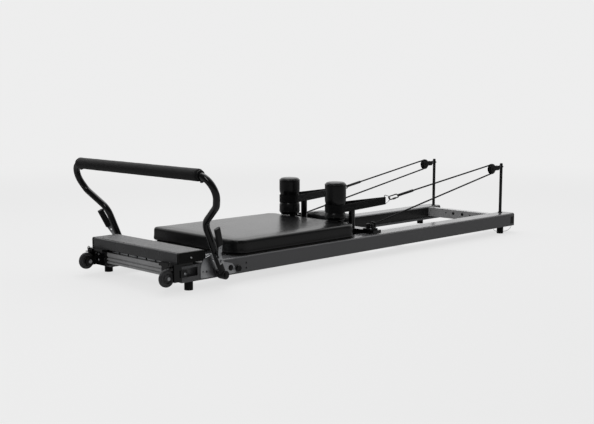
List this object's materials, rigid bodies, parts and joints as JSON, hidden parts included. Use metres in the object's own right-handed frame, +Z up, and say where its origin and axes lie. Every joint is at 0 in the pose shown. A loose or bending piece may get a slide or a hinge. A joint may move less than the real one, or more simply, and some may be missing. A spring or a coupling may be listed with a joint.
{
  "type": "pilates reformer",
  "caption": "Low wheeled pilates reformer: padded carriage rolling on two rails, folding padded footbar, shoulder rests, rope pulleys on posts and hand straps.",
  "frame": {"origin": "on the floor under the middle of the length and width", "axes": "+X from the foot end to the head end, +Y to the left seen from the foot end, +Z up"},
  "size_m": [2.402, 0.959, 0.4887],
  "materials": {
    "steel_grey": "powder coated dark grey",
    "black_metal": "gloss black powder coat",
    "zinc": "zinc plated",
    "black_plastic": "moulded, fine grain",
    "rubber": "matt",
    "tyre": "matt",
    "vinyl": "black vinyl upholstery",
    "foam": "closed cell foam",
    "webbing": "woven strap",
    "rope": "braided",
    "wire": "thin clear-coated cord",
    "board": "stained board",
    "nylon": "nylon"
  },
  "bodies": {
    "root": {"left_rail": "steel_grey", "right_rail": "steel_grey", "foot_crossbeam": "steel_grey", "head_crossmember": "steel_grey", "mid_crossmembers": "black_metal", "rail_end_caps": "black_plastic", "left_wheel_bracket": "black_metal", "right_wheel_bracket": "black_metal", "feet": "rubber", "standing_platform": "steel_grey", "platform_end_caps": "black_plastic", "frame_screws": "zinc", "spring_bar": "zinc", "left_sector_plate": "zinc", "right_sector_plate": "zinc", "footbar_pivot_bolts": "zinc", "wheel_axle_bolts": "zinc", "left_rope_post": "black_metal", "right_rope_post": "black_metal", "eye_bolts": "zinc", "pulley_housings": "black_plastic", "lanyard_loop": "wire", "pull_rings": "black_plastic", "left_rope": "rope", "right_rope": "rope", "resistance_springs": "zinc"},
    "footbar": {"footbar_tube": "black_metal", "footbar_pad": "foam", "footbar_pad_clamps": "black_plastic"},
    "left_lever": {"left_lock_lever": "zinc", "left_lever_grip": "black_plastic"},
    "right_lever": {"right_lock_lever": "zinc", "right_lever_grip": "black_plastic"},
    "left_pin": {"left_lock_pin": "zinc"},
    "right_pin": {"right_lock_pin": "zinc"},
    "left_transport_wheel": {"left_wheel": "tyre"},
    "right_transport_wheel": {"right_wheel": "tyre"},
    "left_knob": {"left_pull_knob": "black_plastic"},
    "right_knob": {"right_pull_knob": "black_plastic"},
    "left_pulley_wheel": {"left_sheave": "nylon"},
    "right_pulley_wheel": {"right_sheave": "nylon"},
    "carriage": {"carriage_frame": "black_metal", "carriage_board": "board", "carriage_pad": "vinyl", "shoulder_posts": "black_metal", "shoulder_pads": "vinyl", "rope_cleats": "black_plastic", "roller_axles": "zinc", "side_glides": "nylon", "left_strap": "webbing", "right_strap": "webbing", "strap_rings": "zinc", "snap_links": "black_plastic", "rope_sleeves": "black_plastic"},
    "headrest": {"headrest_pad": "vinyl", "headrest_plate": "black_metal"},
    "left_foot_wheel": {"left_foot_roller": "nylon"},
    "right_foot_wheel": {"right_foot_roller": "nylon"},
    "left_head_wheel": {"left_head_roller": "nylon"},
    "right_head_wheel": {"right_head_roller": "nylon"}
  },
  "joints": [
    {"name": "carriage_slide", "type": "slide", "parent": "root", "child": "carriage", "axis": [1, 0, 0], "range_m": [0, 0.45], "stiffness_N_per_m": 120, "springref_m": -0.1, "deforming": ["resistance_springs", "left_rope", "right_rope"]},
    {"name": "headrest_tilt", "type": "hinge", "parent": "carriage", "child": "headrest", "pos_m": [-0.021, 0, 0.139], "axis": [0, -1, 0], "range_deg": [0, 35]},
    {"name": "footbar_swing", "type": "hinge", "parent": "root", "child": "footbar", "pos_m": [-0.924, 0, 0.05], "axis": [0, 1, 0], "range_deg": [-51.7, 93]},
    {"name": "left_lever_squeeze", "type": "hinge", "parent": "footbar", "child": "left_lever", "pos_m": [-0.96197, 0.352, 0.13817], "axis": [0.9184, 0, 0.3955], "range_deg": [0, 8], "stiffness_Nm_per_rad": 4, "springref_deg": -5.73},
    {"name": "left_pin_pull", "type": "slide", "parent": "footbar", "child": "left_pin", "axis": [0, 1, 0], "range_m": [0, 0.0046]},
    {"name": "left_wheel_spin", "type": "hinge", "parent": "root", "child": "left_transport_wheel", "pos_m": [-1.166, 0.277, 0.06], "axis": [0, 1, 0], "continuous": true},
    {"name": "left_knob_pull", "type": "slide", "parent": "root", "child": "left_knob", "axis": [0, 1, 0], "range_m": [0, 0.006], "stiffness_N_per_m": 400, "springref_m": -0.004},
    {"name": "left_sheave_spin", "type": "hinge", "parent": "root", "child": "left_pulley_wheel", "pos_m": [1.075, 0.229, 0.349], "axis": [0, 1, 0], "continuous": true},
    {"name": "left_foot_roller_spin", "type": "hinge", "parent": "carriage", "child": "left_foot_wheel", "pos_m": [-0.751, 0.193, 0.0643], "axis": [0, 1, 0], "continuous": true},
    {"name": "left_head_roller_spin", "type": "hinge", "parent": "carriage", "child": "left_head_wheel", "pos_m": [-0.111, 0.193, 0.0643], "axis": [0, 1, 0], "continuous": true},
    {"name": "right_lever_squeeze", "type": "hinge", "parent": "footbar", "child": "right_lever", "pos_m": [-0.96197, -0.352, 0.13817], "axis": [-0.9184, 0, -0.3955], "range_deg": [0, 8], "stiffness_Nm_per_rad": 4, "springref_deg": -5.73},
    {"name": "right_pin_pull", "type": "slide", "parent": "footbar", "child": "right_pin", "axis": [0, -1, 0], "range_m": [0, 0.0046]},
    {"name": "right_wheel_spin", "type": "hinge", "parent": "root", "child": "right_transport_wheel", "pos_m": [-1.166, -0.277, 0.06], "axis": [0, 1, 0], "continuous": true},
    {"name": "right_knob_pull", "type": "slide", "parent": "root", "child": "right_knob", "axis": [0, -1, 0], "range_m": [0, 0.006], "stiffness_N_per_m": 400, "springref_m": -0.004},
    {"name": "right_sheave_spin", "type": "hinge", "parent": "root", "child": "right_pulley_wheel", "pos_m": [1.075, -0.229, 0.349], "axis": [0, 1, 0], "continuous": true},
    {"name": "right_foot_roller_spin", "type": "hinge", "parent": "carriage", "child": "right_foot_wheel", "pos_m": [-0.751, -0.193, 0.0643], "axis": [0, 1, 0], "continuous": true},
    {"name": "right_head_roller_spin", "type": "hinge", "parent": "carriage", "child": "right_head_wheel", "pos_m": [-0.111, -0.193, 0.0643], "axis": [0, 1, 0], "continuous": true}
  ],
  "couplings": [
    {"joint": "left_pin_pull", "follows": "left_lever_squeeze", "m_per_rad": 0.032},
    {"joint": "left_foot_roller_spin", "follows": "carriage_slide", "rad_per_m": 50},
    {"joint": "left_head_roller_spin", "follows": "carriage_slide", "rad_per_m": 50},
    {"joint": "right_pin_pull", "follows": "right_lever_squeeze", "m_per_rad": 0.032},
    {"joint": "right_foot_roller_spin", "follows": "carriage_slide", "rad_per_m": 50},
    {"joint": "right_head_roller_spin", "follows": "carriage_slide", "rad_per_m": 50}
  ]
}
